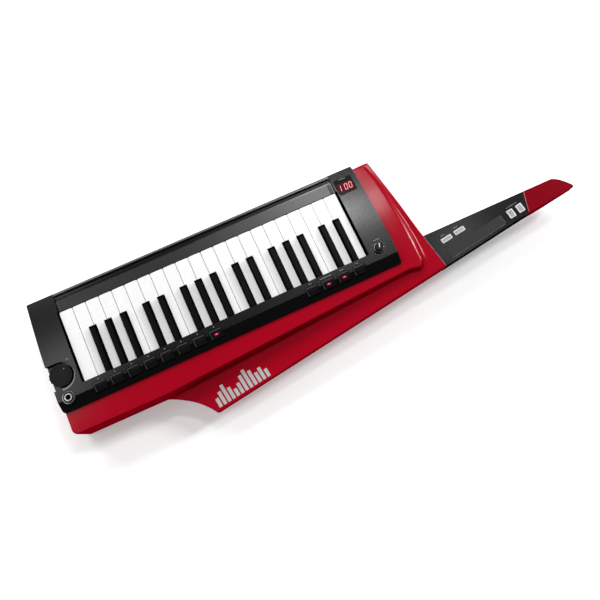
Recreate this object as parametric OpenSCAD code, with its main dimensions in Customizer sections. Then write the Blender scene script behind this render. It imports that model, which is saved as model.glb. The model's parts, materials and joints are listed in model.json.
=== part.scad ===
// Strap-on keyboard synthesizer with 37 slim keys, lying on its back.
// Layout is measured from the front left corner of the white keys' tops:
// +X runs towards the neck and the low notes, +Y towards the key fronts, +Z out of the panel.
// The finished model is moved so that its origin is the middle of its footprint, on the table.

/* [Keys] */
// Distance from one white key to the next
key_pitch = 20.4; // [20:0.1:20.6]
// Visible length of a white key
white_len = 110.9; // [108:0.1:112]
// Visible length of a black key, from its front foot
black_len = 71.3; // [68:0.1:73]
// Height of the black keys above the white ones
black_rise = 7.5; // [6:0.5:8]
// Gap between two white keys
key_gap = 0.7; // [0.6:0.1:1]
// Depth of a key's side walls
key_depth = 12; // [11:0.5:12.5]
// Thickness of a key's walls
key_wall = 1.5; // [1.2:0.1:1.8]
// Radius of the rod that all keys turn on
rod_r = 1.5; // [1.3:0.1:1.8]
// Radial clearance of a key on the rod
rod_clearance = 0.08; // [0.05:0.01:0.1]

/* [Body] */
// Height of the red deck above the table
deck_top = 59.5; // [58:0.5:60]
// Height of the neck's surface above the table
neck_top = 49.3; // [48:0.1:50]
// Height of the wing's surface at its tip
wing_top = 37.5; // [35:0.5:39]
// Height of the wing's underside at its tip
wing_under = 15.5; // [14:0.5:17]
// Height of the neck's underside
neck_under = 19.3; // [18:0.1:21]
// Thickness of the black back plate
back_t = 2; // [2:0.5:3]
// X position of the tip of the head
head_tip_x = 795.3; // [790:0.1:798]
// How far the strap pegs stand out of the upper edge
peg_out = 12.9; // [12:0.1:14]

/* [Keyboard housing] */
// Height of the end blocks above the white keys
block_rise = 6.5; // [6:0.5:7]
// Thickness of the housing's skin
skin_t = 2.4; // [2:0.2:2.8]
// Width of the band that holds the long touch strip
band_w = 16.4; // [15:0.2:17]

/* [Controls] */
// Radius of the volume dial
dial_r = 16.7; // [16:0.1:17.2]
// Radius of the level knob
knob_r = 7.5; // [7:0.1:8]
// Width of a panel button
button_w = 18.9; // [17:0.1:19.4]
// Distance between neighbouring panel buttons
button_step = 25.5; // [25:0.1:25.6]
// Length of the short touch strip on the neck
strip_len = 101.8; // [98:0.1:103]
// Angle of the neck's lower edge
neck_angle = 8.05; // [7.8:0.05:8.3]

/* [Hidden] */
$fn = 48;
eps = 0.01;
white_n = 22;
black_n = 15;
keys_w = white_n * key_pitch;
slot_w = key_pitch * 7 / 12;
key_top = 61.5;
// The seven white keys of an octave: semitone, and whether a black key is left or right of it.
// "Left" is the side of the higher notes.
semitone = [0, 2, 4, 5, 7, 9, 11];
black_left = [true, true, false, true, true, true, false];
black_right = [false, true, true, false, true, true, true];
black_semitone = [1, 3, 6, 8, 10];
rod_y = -126;
rod_z = -11;
hub_top = -7.2;
hub_bottom = -14.5;
key_back_y = -130.5;
hub_front_y = -118;
black_foot_y = -(white_len - black_len) + 1;

// Housing outline, from the player's side
house_l = -43.2;
house_r = 493.5;
house_front = 31.4;
house_rear = -140.9;
crease_y = -124.6;
house_base = deck_top - key_top;
well_l = -1.8;
well_r = keys_w + 3.2;
well_rear = -white_len;
rail_end_l = 0.6;
rail_end_r = keys_w + 1.4;

// Controls
dial_pos = [-26.6, -88.7];
knob_pos = [469.6, -107.7];
jack_pos = [-26.1, -123.1];
program_x = 20.4;
program_n = 8;
function_x = 353.1;
function_n = 4;
button_y0 = -133.2;
button_y1 = -119.4;
button_z0 = -3;
window_box = [[453.5, -8.2], [482.4, 18.2]];
strip_pos = [617.4, -149.1];
mode_pos = [[574.7, -133.9], [598.3, -130.4]];
octave_pos = [[683.8, -139.3], [700.8, -137]];
mode_size = [17.8, 7.1];
octave_size = [10.3, 13.4];

// Body outline
deck_l = -42.8;
deck_front = 27.3;
deck_rear = -175.1;
deck_bend = [101.6, -176.2];
deck_end = [500.4, -154.6];
wing_corner = [154, -227.8];
corner_x = 518.2;
corner_r = 2.5;
neck_joint_front = [544.9, -114.7];
neck_joint_rear = [555, -171.6];
head_joint_front = [719, -114.7];
head_joint_rear = [710.2, -149.4];
edge_slope = (head_joint_rear[1] - neck_joint_rear[1]) / (head_joint_rear[0] - neck_joint_rear[0]);
pocket = [[-36, -134], [486, 15]];
core_inset = 3;
core_t = 14;
base_z = -key_top;
wood_base = base_z + back_t;
neck_z = neck_top - key_top;
neck_under_z = neck_under - key_top;
wing_z = wing_top - key_top;
wing_under_z = wing_under - key_top;
deck_z = deck_top - key_top;
peg_z = -44;
peg_x = [-20, 500];

// Sockets in the left end
panel_y = [-103, 6];
panel_z = [-51, -15];
panel_t = 1.5;
socket_z = -33;
output_y = -6;
line_y = -22;
midi_y = [-40, -62];
usb_y = -80;
power_y = -95;
jack_bore = 3.25;
jack_out = 3.8;
mini_bore = 1.8;

// Battery box in the back plate
cell_r = 7.1;
cell_l = 50.2;
cell_n = 6;
cell_step = 14.8;
battery_x = 330;
battery_y = -84;

screw_pos = [for (x = [-28, 100, 225, 350, 478]) for (y = [-144, 19.8]) [x, y]];

function two(i) = str(i < 10 ? "0" : "", i);
function white_name(i) = str("white_key_", two(i));
function black_name(i) = str("black_key_", two(i));

// Points of an arc, and of a curve with one control point
function arc(c, r, a0, a1, n = 6) =
    [for (i = [0 : n]) let (a = a0 + (a1 - a0) * i / n) c + r * [cos(a), sin(a)]];
function bend(p, q, s, n = 10) =
    [for (i = [0 : n]) let (t = i / n) (1 - t) * (1 - t) * p + 2 * t * (1 - t) * q + t * t * s];

// Height of the housing's end blocks: level over the rear, falling away to the front edge
function block_z(y) = block_rise - (y > -80 ? 0.00048 * (y + 80) * (y + 80) : 0);

// Moves the layout to the finished model's origin
module placed() {
    x_mid = (dial_pos[0] - dial_r + head_tip_x) / 2;
    y_mid = (wing_corner[1] + deck_front + peg_out) / 2;
    translate([-x_mid, -y_mid, key_top]) children();
}

module rounded(size, r) {
    square([size[0], size[1] - 2 * r], center = true);
    square([size[0] - 2 * r, size[1]], center = true);
    for (sx = [-1, 1], sy = [-1, 1])
        translate([sx * (size[0] / 2 - r), sy * (size[1] / 2 - r)]) circle(r);
}

// A flat outline between two heights
module slab(z0, z1) {
    translate([0, 0, z0]) linear_extrude(z1 - z0) children();
}

// A profile drawn as [y, z], swept along X
module along_x(x0, x1) {
    translate([x0, 0, 0]) rotate([90, 0, 90]) linear_extrude(x1 - x0) children();
}

// A profile drawn as [x, z], swept along Y
module along_y(y0, y1) {
    translate([0, y1, 0]) rotate([90, 0, 0]) linear_extrude(y1 - y0) children();
}

module box(lo, hi) {
    translate(lo) cube(hi - lo);
}

// ---------- body ----------

module deck_outline() {
    polygon(concat(
        arc([deck_l + 3, deck_front - 3], 3, 180, 90),
        bend([511, deck_front], [526.5, -30], [524, -142]),
        arc([512, -146.6], 12, 5, -70),
        [deck_end, deck_bend],
        arc([deck_l + 6, deck_rear + 6], 6, 270, 180)));
}

module wing_outline() {
    polygon(concat(
        [[0, -170], [0, deck_front]],
        arc([corner_x - corner_r, deck_front - corner_r], corner_r, 90, 10),
        [neck_joint_front, neck_joint_rear],
        bend([155.5, -227.4], [wing_corner[0] - 1.5, wing_corner[1]], [152.5, -226.2], 4),
        bend([152.5, -226.2], [134, -196], [88, -174])));
}

// Side view of the wing: its top climbs from the tip to the neck
module wing_side() {
    polygon([[-10, wing_z], [wing_corner[0], wing_z], [neck_joint_rear[0], neck_z], [600, neck_z],
        [600, neck_under_z], [neck_joint_rear[0], neck_under_z], [wing_corner[0], wing_under_z],
        [-10, wing_under_z]]);
}

// Side view of the shoulder beside the deck: it rises from the neck to the front corner
module shoulder_side() {
    polygon([[neck_joint_front[1], neck_z], [-40, -7.5], [deck_front + 1, -4.6],
        [deck_front + 1, wing_under_z + 1], [neck_joint_front[1], wing_under_z + 1]]);
}

// Wooden core of the neck, and the passage that it needs in the neck's cover and in the head
module core_outline(gap = 0) {
    front = neck_joint_front[1] - core_inset + gap;
    rear_l = [neck_joint_rear[0] - 8, neck_joint_rear[1] + core_inset - gap - 8 * edge_slope];
    rear_r = [head_joint_rear[0] + 20 + gap, head_joint_rear[1] + core_inset - gap + 20 * edge_slope];
    polygon([[rear_l[0], front], [rear_r[0], front], rear_r, rear_l]);
}

module screw_holes(r, z0, z1) {
    for (p = screw_pos) translate([p[0], p[1], z0]) cylinder(r = r, h = z1 - z0);
}

module wood_body() {
    color("crimson") placed() difference() {
        union() {
            slab(wood_base, deck_z) deck_outline();
            intersection() {
                slab(wing_under_z, deck_z - 1) wing_outline();
                along_y(-240, 40) wing_side();
            }
            intersection() {
                slab(wing_under_z, deck_z - 1) wing_outline();
                along_x(deck_end[0], 600) shoulder_side();
            }
            slab(neck_under_z + 1, neck_under_z + core_t) core_outline();
        }
        box([pocket[0][0], pocket[0][1], wood_base - 1], [pocket[1][0], pocket[1][1], deck_z + 1]);
        box([deck_l - 1, panel_y[0] - 1.2, panel_z[0] - 1.2], [-30, panel_y[1] + 1.2, panel_z[1] + 1.2]);
        screw_holes(1.75, wood_base - 1, wood_base + 14);
        for (x = peg_x) translate([x, deck_front + 1, peg_z]) rotate([90, 0, 0]) cylinder(r = 2.1, h = 30);
    }
}

// The back plate stays a little inside the deck's outline
module back_outline() {
    edge = 5;
    polygon([[deck_l + edge + 1, deck_rear + 2 * edge], [deck_l + edge + 1, deck_front - 1.5],
        [deck_end[0] + edge, deck_front - 1.5], [516, -30], [517, -140], [deck_end[0], deck_end[1] + edge],
        [deck_bend[0], deck_bend[1] + edge], [deck_l + 2 * edge, deck_rear + edge]]);
}

module door_outline(gap) {
    translate([battery_x, battery_y]) rounded([cell_n * 15 + 8 - 2 * gap, cell_l + 14 - 2 * gap], 4);
}

module back_cover() {
    tray = [cell_n * 15 + 12, cell_l + 18];
    tray_top = base_z + 20;
    color("dimgray") placed() difference() {
        union() {
            slab(base_z, wood_base) back_outline();
            slab(wood_base - eps, tray_top) translate([battery_x, battery_y]) rounded(tray, 3);
        }
        slab(base_z - 1, tray_top - 2) door_outline(0);
        screw_holes(1.9, base_z - 1, wood_base + 1);
        for (p = screw_pos) translate([p[0], p[1], base_z - eps]) cylinder(r1 = 3.9, r2 = 1.9, h = 1.9);
    }
}

module battery_door() {
    color("gray") placed() difference() {
        union() {
            slab(base_z, base_z + 1.8) door_outline(0.3);
            translate([battery_x, battery_y + cell_l / 2 + 5.5, base_z + 1.2])
                slab(0, 4) rounded([14, 1.6], 0.7);
        }
        for (i = [-2 : 2]) translate([battery_x + i * 4, battery_y - 24, base_z])
            rotate([90, 0, 0]) cylinder(r = 0.8, h = 10, center = true);
    }
}

module batteries() {
    color("gold") placed() for (i = [0 : cell_n - 1]) {
        side = i % 2 == 0 ? 1 : -1;
        x = battery_x + (i - (cell_n - 1) / 2) * cell_step;
        translate([x, battery_y, base_z + 10]) rotate([side * 90, 0, 0]) {
            translate([0, 0, -cell_l / 2]) cylinder(r = cell_r, h = cell_l - 1.2);
            translate([0, 0, -cell_l / 2 - 0.1]) cylinder(r = 2.7, h = cell_l + 0.1);
        }
    }
}

module screws() {
    color("silver") placed() for (p = screw_pos) translate([p[0], p[1], base_z + 0.1]) difference() {
        union() {
            cylinder(r1 = 3.6, r2 = 1.6, h = 1.8);
            cylinder(r = 1.6, h = 13);
        }
        for (a = [0, 90]) rotate(a) translate([0, 0, 0.3]) cube([4.2, 0.9, 1.4], center = true);
    }
}

module strap_pegs() {
    color("silver") placed() for (x = peg_x) translate([x, deck_front, peg_z]) rotate([-90, 0, 0]) {
        rotate_extrude() polygon([[0, -20], [2, -20], [2, 0.05], [5.5, 0.05], [5.5, 1.5], [3.5, 4],
            [3.5, peg_out - 4], [6, peg_out - 2.2], [6.5, peg_out - 1], [5.5, peg_out], [0, peg_out]]);
    }
}

// ---------- keyboard housing ----------

module house_outline(inset = 0) {
    i = inset;
    polygon(concat(
        arc([house_l + 4, house_rear + 4], 4 - i, 270, 180),
        [[house_l + i, -60]],
        arc([house_l + 6.5, house_front - 3], 3.5 - i, 170, 90),
        arc([house_r - 6.8, house_front - 3], 3 - i, 90, 10),
        [[house_r - 2.5 - i, -20], [house_r - i, -110], [house_r - 1 - i, house_rear + i]]));
}

// End block seen from the side, full section and its hollow
module block_side(t = 0) {
    polygon(concat(
        [[house_rear + t * 1.5, house_base - 1 + (t > 0 ? 0 : 1)], [house_rear + t * 1.5, house_base + 0.5]],
        [[crease_y + t * 0.5, block_rise - t]],
        [for (y = [-80 : 10 : 20]) [y, block_z(y) - t]],
        [[house_front - 1.6 - t, block_z(25) - 0.6 - t], [house_front - t, block_z(27) - 2.4 - t],
         [house_front - t, house_base - 1 + (t > 0 ? 0 : 1)]]));
}

// Front rail seen from the side: flat band, groove, rounded outer lip
module rail_side() {
    polygon(concat(
        [[0.9, house_base], [0.9, -1.2], [1.4 + band_w, -1.2], [1.6 + band_w, -1.8], [20.4, -1.8],
         [20.9, -1.2]],
        arc([house_front - 3.9, -3.1], 3.9, 145, 18),
        [[house_front, house_base]]));
}

module button_cuts(x0, n) {
    for (i = [0 : n - 1]) {
        x = x0 + i * button_step;
        box([x - button_w / 2 - 0.6, button_y0 - 0.6, -20], [x + button_w / 2 + 0.6, button_y1 + 0.6, 20]);
    }
}

module dial_cut(r, z0, z1) {
    slab(z0, z1) {
        translate(dial_pos) circle(r);
        translate([house_l - 5, dial_pos[1] - r]) square([dial_pos[0] - house_l + 5, 2 * r]);
    }
}

module keyboard_housing() {
    cut = dial_r + 2.3;
    color("darkslategray") placed() difference() {
        union() {
            difference() {
                intersection() {
                    slab(house_base, block_rise + 1) house_outline();
                    along_x(house_l - 1, house_r + 1) block_side();
                }
                box([rail_end_l, well_rear, house_base - 1], [rail_end_r, house_front + 1, block_rise + 1]);
                box([well_l, well_rear, house_base - 1], [well_r, 0.9, block_rise + 1]);
                intersection() {
                    slab(house_base - 1, block_rise) house_outline(skin_t);
                    along_x(house_l, house_r) block_side(skin_t);
                    union() {
                        box([house_l, house_rear, -10], [well_l - skin_t, house_front, 10]);
                        box([well_r + skin_t, house_rear, -10], [house_r, house_front, 10]);
                        box([house_l, house_rear, -10], [house_r, well_rear - skin_t, 10]);
                    }
                }
            }
            along_x(rail_end_l - 0.3, rail_end_r + 0.3) rail_side();
            // Raised ring under the volume dial and boss of the front jack
            intersection() {
                slab(house_base, block_rise) house_outline();
                dial_cut(cut + 2, house_base, block_rise - 1);
            }
            intersection() {
                dial_cut(cut + 2, -4.4, -0.8);
                box([pocket[0][0] + 0.3, pocket[0][1] + 0.3, -5], [well_l - 1, pocket[1][1], 0]);
            }
            translate([jack_pos[0], jack_pos[1], house_base])
                cylinder(r = 9.6, h = block_rise - house_base + 0.3);
        }
        dial_cut(cut, -1, 20);
        translate([dial_pos[0], dial_pos[1], -20]) cylinder(r = 3.4, h = 40);
        translate([knob_pos[0], knob_pos[1], -20]) cylinder(r = 3.4, h = 40);
        translate([jack_pos[0], jack_pos[1], -20]) cylinder(r = 5.1, h = 40);
        box([well_l, well_rear - 5, -20], [well_r, well_rear + 1, 1.6]);
        button_cuts(program_x, program_n);
        button_cuts(function_x, function_n);
        slab(-20, 20) translate((window_box[0] + window_box[1]) / 2)
            rounded(window_box[1] - window_box[0] + [0.4, 0.4], 3);
    }
}

module display_window() {
    mid = (window_box[0] + window_box[1]) / 2;
    size = window_box[1] - window_box[0];
    color("black") placed() {
        intersection() {
            slab(-5, 10) translate(mid) rounded(size, 2.8);
            along_x(400, 500) polygon(concat(
                [for (y = [-10 : 5 : 20]) [y, block_z(y) - 0.2]],
                [[20, block_z(18) - 1.9], [-10, block_z(18) - 1.9]]));
        }
    }
}

module long_ribbon() {
    color("dimgray") placed() slab(-1.15, -0.3)
        translate([keys_w / 2, 1.2 + band_w / 2]) rounded([keys_w - 12, band_w - 0.6], 1.2);
}

// ---------- keys ----------

// Left side, right side of a white key's head, and of its tail
function white_x(i) = keys_w - i * key_pitch;
function octave_of(i) = floor((i - 1) / 7);
function step_of(i) = (i - 1) % 7;
function slot_x(octave, tone) = keys_w - octave * 7 * key_pitch - (tone + 1) * slot_w;
function own_slot_x(i) = slot_x(octave_of(i), semitone[step_of(i)]);
function tail_l(i) = i < white_n && black_left[step_of(i)] ? own_slot_x(i) : white_x(i) + key_gap / 2;
function tail_r(i) = black_right[step_of(i)] ? own_slot_x(i) + slot_w : white_x(i) + key_pitch - key_gap / 2;

module rod_hole(x0, x1) {
    along_x(x0, x1) translate([rod_y, rod_z]) circle(rod_r + rod_clearance);
}

module white_key(i) {
    l = white_x(i) + key_gap / 2;
    r = white_x(i) + key_pitch - key_gap / 2;
    tl = tail_l(i);
    tr = tail_r(i);
    notch = black_foot_y + 1;
    front_r = 2;
    color("white") placed() difference() {
        union() {
            slab(-key_depth, 0) {
                translate([l, notch]) square([r - l, -notch - front_r]);
                translate([l + front_r, -front_r - eps]) square([r - l - 2 * front_r, front_r + eps]);
                for (x = [l + front_r, r - front_r]) translate([x, -front_r]) circle(front_r);
                translate([tl, -white_len - 3]) square([tr - tl, white_len + 4 + notch]);
            }
            slab(-key_depth, hub_top) translate([tl, hub_front_y - 1]) square([tr - tl, 8]);
            slab(hub_bottom, hub_top) translate([tl, key_back_y]) square([tr - tl, hub_front_y - key_back_y]);
        }
        box([l + key_wall, notch + key_wall, -key_depth - 1], [r - key_wall, -key_wall - 0.5, -2.2]);
        box([tl + key_wall, -white_len, -key_depth - 1], [tr - key_wall, notch + 3, -2.2]);
        rod_hole(tl - 1, tr + 1);
    }
}

function black_slot(i) = slot_x(floor((i - 1) / 5), black_semitone[(i - 1) % 5]);

module black_key(i) {
    x = black_slot(i) + slot_w / 2;
    half = slot_w / 2 - 1;
    shoulder = half - 0.7;
    crown = half - 1.3;
    rear = -white_len + 0.9;
    color("black") placed() difference() {
        intersection() {
            along_y(key_back_y, black_foot_y) polygon([[x - half, hub_bottom], [x - half, 0],
                [x - shoulder, black_rise - 0.8], [x - crown, black_rise],
                [x + crown, black_rise], [x + shoulder, black_rise - 0.8],
                [x + half, 0], [x + half, hub_bottom]]);
            along_x(x - 10, x + 10) polygon([[black_foot_y, -key_depth], [black_foot_y, 0.5],
                [black_foot_y - 3.2, black_rise - 0.9], [black_foot_y - 4.4, black_rise],
                [rear, black_rise], [rear, hub_top], [key_back_y, hub_top], [key_back_y, hub_bottom],
                [hub_front_y, hub_bottom], [hub_front_y, -key_depth]]);
        }
        box([x - half + key_wall, -106, -key_depth - 1], [x + half - key_wall, black_foot_y - 3.5, 3]);
        rod_hole(x - 10, x + 10);
    }
}

// Frame under the keys: base plate, rod and its two brackets, front and rear stops
module key_chassis() {
    plate_z = -38;
    ends = [-6.5, keys_w + 4.5];
    color("silver") placed() {
        difference() {
            union() {
                box([-8, -133, plate_z], [keys_w + 8, 12, plate_z + 2]);
                for (x = ends) box([x, -133, plate_z + 2 - eps], [x + 3, -119, -7]);
                box([-8, 3, plate_z + 2 - eps], [keys_w + 8, 5, -24]);
                for (x = [20, 225, 430]) for (y = [-128, 8])
                    translate([x, y, wood_base]) cylinder(r = 4, h = plate_z - wood_base + eps);
            }
            rod_hole(-10, 0);
            rod_hole(keys_w, keys_w + 10);
            for (x = [40 : 60 : 400]) translate([x, -60, plate_z - 1]) cylinder(r = 14, h = 4);
        }
        along_x(-8, keys_w + 9) translate([rod_y, rod_z]) circle(rod_r);
    }
}

module circuit_boards() {
    board_t = 1.6;
    contact_z = -35.9;
    main_z = -50;
    display_z = -9.4;
    color("seagreen") placed() {
        // Key contact board on the chassis
        box([6, -112, contact_z], [keys_w - 6, -84, contact_z + board_t]);
        for (i = [0 : white_n - 1]) translate([i * key_pitch + 6, -104, contact_z + board_t - eps])
            cube([8, 12, 2.8]);
        // Main board under the chassis
        box([24, -104, main_z], [250, -22, main_z + board_t]);
        translate([0, 0, main_z + board_t - eps]) {
            for (p = [[60, -60], [110, -70], [170, -50]]) translate(p) cube([16, 16, 2]);
            for (p = [[40, -40], [210, -60], [210, -80]]) translate(p) cylinder(r = 5, h = 8);
        }
        // Panel boards under the buttons of the rear edge, and the display's own board
        for (row = [[program_x, program_n], [function_x, function_n]])
            box([row[0] - 12, -132.5, -6.4], [row[0] + (row[1] - 1) * button_step + 12, -116, -5.2]);
        box([460, -20, display_z], [484, 14, display_z + board_t]);
        box([462, -4, display_z + board_t - eps], [482, 12, -2.4]);
    }
}

// ---------- controls ----------

module volume_dial() {
    notches = 20;
    color("gray") placed() translate([dial_pos[0], dial_pos[1], 0]) {
        difference() {
            translate([0, 0, -0.6]) cylinder(r = dial_r, h = block_rise + 0.6);
            for (i = [0 : notches - 1]) rotate((i + 0.5) * 360 / notches)
                translate([dial_r + 1.5, 0, -2]) cylinder(r = 2.2, h = 12, $fn = 24);
            translate([0, 0, block_rise - 0.5]) cylinder(r = dial_r - 3.4, h = 2);
        }
        translate([0, 0, block_rise - 0.6]) cylinder(r = dial_r - 4, h = 0.5);
        translate([0, 0, -14]) cylinder(r = 3, h = 14);
    }
}

module level_knob() {
    color("black") placed() translate([knob_pos[0], knob_pos[1], 0]) difference() {
        union() {
            translate([0, 0, block_rise + 0.3]) cylinder(r = knob_r, h = 2.4);
            translate([0, 0, block_rise + 2.6]) cylinder(r1 = knob_r - 0.7, r2 = knob_r - 1.5, h = 5.6);
            translate([0, 0, -14]) cylinder(r = 3, h = 15 + block_rise);
        }
        translate([knob_r - 1.3, 0, block_rise + 6]) cube([4, 0.8, 8], center = true);
    }
}

// One panel button seen from the side
module button_side() {
    polygon([[button_y0, button_z0], [button_y0, 3.4], [button_y0 + 0.5, 4], [-125.4, 6.7], [-122.6, 7.3],
        [button_y1 - 0.6, 7.4], [button_y1, 6.8], [button_y1, button_z0]]);
}

module button_row(x0, n) {
    wall = 1.5;
    for (i = [0 : n - 1]) {
        l = x0 + i * button_step - button_w / 2;
        r = l + button_w;
        difference() {
            intersection() {
                along_x(l, r) button_side();
                slab(-10, 10) translate([(l + r) / 2, (button_y0 + button_y1) / 2])
                    rounded([button_w, button_y1 - button_y0], 1.8);
            }
            box([l + wall, button_y0 + wall, -5], [r - wall, button_y1 - wall, 1.6]);
        }
    }
}

module program_buttons() {
    color("dimgray") placed() button_row(program_x, program_n);
}

module function_buttons() {
    color("dimgray") placed() button_row(function_x, function_n);
}

module silver_button(pos, size) {
    color("silver") placed() translate([pos[0], pos[1], neck_z]) rotate(neck_angle) {
        slab(-4, 2) rounded(size, 1);
        slab(-5, -4 + eps) rounded(size + [1.6, 1.6], 1);
    }
}

module mode_button_a() {
    silver_button(mode_pos[0], mode_size);
}

module mode_button_b() {
    silver_button(mode_pos[1], mode_size);
}

module octave_button_down() {
    silver_button(octave_pos[0], octave_size);
}

module octave_button_up() {
    silver_button(octave_pos[1], octave_size);
}

// ---------- neck and head ----------

module neck_outline(inset) {
    i = inset;
    polygon([neck_joint_front + [0.3 + i, -i], head_joint_front + [-0.3 - i, -i],
        (head_joint_front + head_joint_rear) / 2 + [0.3 - i, 0],
        head_joint_rear + [-0.3 - i, i], neck_joint_rear + [0.3 + i, i]]);
}

module neck_shell() {
    color("darkslategray") placed() difference() {
        union() {
            slab(neck_under_z, neck_z) neck_outline(0);
            translate([strip_pos[0], strip_pos[1], neck_z]) rotate(neck_angle)
                translate([-29, 12.4, -eps]) slab(0, 0.9) rounded([44, 1.6], 0.7);
        }
        slab(neck_under_z - 1, neck_z - 2.6) neck_outline(2.6);
        slab(neck_under_z - 1, neck_under_z + core_t + 0.4) core_outline(0.3);
        for (p = mode_pos) translate([p[0], p[1], neck_z - 4]) rotate(neck_angle)
            slab(0, 6) rounded(mode_size + [0.8, 0.8], 1.4);
        for (p = octave_pos) translate([p[0], p[1], neck_z - 4]) rotate(neck_angle)
            slab(0, 6) rounded(octave_size + [0.8, 0.8], 1.4);
        translate([strip_pos[0], strip_pos[1], neck_z - 0.6]) rotate(neck_angle)
            slab(0, 2) rounded([strip_len + 0.6, 16.6], 0.8);
    }
}

module short_ribbon() {
    color("dimgray") placed() translate([strip_pos[0], strip_pos[1], neck_z]) rotate(neck_angle)
        slab(-0.55, 0.7) rounded([strip_len, 16], 0.8);
}

module head_outline() {
    polygon(concat(
        [(head_joint_front + head_joint_rear) / 2 + [0.6, 0], head_joint_front],
        bend([768, head_joint_front[1]], [780, -117.5], [head_tip_x, -138]),
        [[head_tip_x - 1.5, -140.8], head_joint_rear]));
}

module head_cap() {
    color("crimson") placed() difference() {
        intersection() {
            slab(neck_under_z, neck_z) head_outline();
            along_y(-160, -100) polygon([[700, neck_z], [head_tip_x + 1, neck_z],
                [head_tip_x + 1, neck_z - 15], [740, neck_under_z], [700, neck_under_z]]);
        }
        slab(neck_under_z - 1, neck_under_z + core_t + 0.4) core_outline(0.3);
    }
}

// ---------- sockets ----------

module socket_hole(y, r, depth) {
    translate([deck_l, y, socket_z]) rotate([0, 90, 0]) cylinder(r = r, h = depth, $fn = r < 1 ? 16 : 48);
}

// A socket body behind the panel
module socket_block(y, w, h, depth) {
    x0 = deck_l + 1 + panel_t;
    box([x0, y - w / 2, socket_z - h / 2], [x0 + depth, y + w / 2, socket_z + h / 2]);
}

module socket_nut(y, r, bore) {
    translate([deck_l + 1 + eps, y, socket_z]) rotate([0, -90, 0]) difference() {
        cylinder(r = r, h = 1.9, $fn = 6);
        translate([0, 0, -1]) cylinder(r = bore, h = 4);
    }
}

module sockets() {
    x0 = deck_l + 1;
    mid = [(panel_y[0] + panel_y[1]) / 2, (panel_z[0] + panel_z[1]) / 2];
    color("silver") placed() {
        difference() {
            union() {
                box([x0, panel_y[0], panel_z[0]], [x0 + panel_t + eps, panel_y[1], panel_z[1]]);
                socket_block(output_y, 15, 16, 26);
                socket_block(line_y, 10, 11, 15);
                for (y = midi_y) socket_block(y, 20, 20, 14);
                socket_block(usb_y, 13, 12.4, 16);
                socket_block(power_y, 10, 12, 14);
            }
            socket_hole(output_y, jack_bore, 26);
            socket_hole(line_y, mini_bore, 15);
            socket_hole(power_y, 2.9, 12);
            for (y = midi_y) difference() {
                socket_hole(y, 7.6, 10);
                socket_hole(y, 5.8, 20);
            }
            for (y = midi_y, a = [-90 : 45 : 90]) translate([0, 4.2 * sin(a), 4.2 * cos(a)])
                socket_hole(y, 0.8, 8);
            box([x0 - 1, usb_y - 4.3, socket_z - 4], [x0 + 12, usb_y + 4.3, socket_z + 4]);
        }
        box([x0 + 1, usb_y - 2.8, socket_z - 1.6], [x0 + 12.5, usb_y + 2.8, socket_z + 1.6]);
        translate([x0 + 1, power_y, socket_z]) rotate([0, 90, 0]) cylinder(r = 1, h = 11);
        socket_nut(output_y, 7, jack_bore);
        socket_nut(line_y, 4.6, mini_bore);
        front_jack();
    }
}

// Threaded sleeve through the housing, with its nut outside
module front_jack() {
    top = block_rise + jack_out;
    foot = block_rise + 0.35;
    translate([jack_pos[0], jack_pos[1], 0]) rotate_extrude() polygon([[jack_bore, -18], [5, -18],
        [5, foot], [9.2, foot], [9.2, top - 2], [8.6, top - 1.3], [7.6, top - 1.1], [7, top - 2.2],
        [5.9, top - 2.2], [5.8, top - 0.7], [5.2, top], [4, top], [jack_bore, top - 0.9]]);
}

// ---------- the assembly ----------

wood_body();
back_cover();
keyboard_housing();
key_chassis();
circuit_boards();
display_window();
long_ribbon();
neck_shell();
short_ribbon();
head_cap();
battery_door();
batteries();
sockets();
strap_pegs();
screws();
volume_dial();
level_knob();
program_buttons();
function_buttons();
mode_button_a();
mode_button_b();
octave_button_down();
octave_button_up();
for (i = [1 : white_n]) white_key(i);
for (i = [1 : black_n]) black_key(i);
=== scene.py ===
import json
import math

import bmesh
import bpy
import numpy as np
from mathutils import Matrix, Vector
from mathutils.geometry import delaunay_2d_cdt


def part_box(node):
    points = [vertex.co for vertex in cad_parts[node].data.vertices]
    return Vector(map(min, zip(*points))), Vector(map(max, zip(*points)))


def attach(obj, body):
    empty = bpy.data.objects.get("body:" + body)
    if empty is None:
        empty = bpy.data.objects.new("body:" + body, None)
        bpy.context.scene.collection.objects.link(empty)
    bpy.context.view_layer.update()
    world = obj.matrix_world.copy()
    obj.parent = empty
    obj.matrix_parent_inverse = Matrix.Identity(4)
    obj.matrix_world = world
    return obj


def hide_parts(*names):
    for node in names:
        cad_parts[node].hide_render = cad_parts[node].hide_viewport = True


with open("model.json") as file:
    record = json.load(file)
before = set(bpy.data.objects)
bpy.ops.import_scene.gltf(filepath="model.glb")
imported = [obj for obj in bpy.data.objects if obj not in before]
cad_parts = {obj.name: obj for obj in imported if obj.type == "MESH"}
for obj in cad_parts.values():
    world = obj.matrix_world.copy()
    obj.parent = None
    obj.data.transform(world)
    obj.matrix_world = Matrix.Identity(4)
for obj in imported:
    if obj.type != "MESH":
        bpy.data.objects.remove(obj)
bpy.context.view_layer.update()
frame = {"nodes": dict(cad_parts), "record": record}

BODY = "instrument"
MM = 0.001

# ---------------------------------------------------------------- layout
# Places are given in millimetres from the front left corner of the white keys' tops, as the design does:
# +x towards the neck, +y towards the key fronts, +z out of the panel.
KEY_GAP = 0.7
KEY_LO, KEY_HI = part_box("white_key_22")
ORIGIN = Vector((KEY_LO[0] - KEY_GAP / 2 * MM, KEY_HI[1], KEY_HI[2]))


def at(x, y, z):
    """Layout millimetres to the frame's metres."""
    return ORIGIN + Vector((x, y, z)) * MM


def layout(point):
    """The frame's metres to layout millimetres."""
    return (Vector(point) - ORIGIN) / MM


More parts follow.
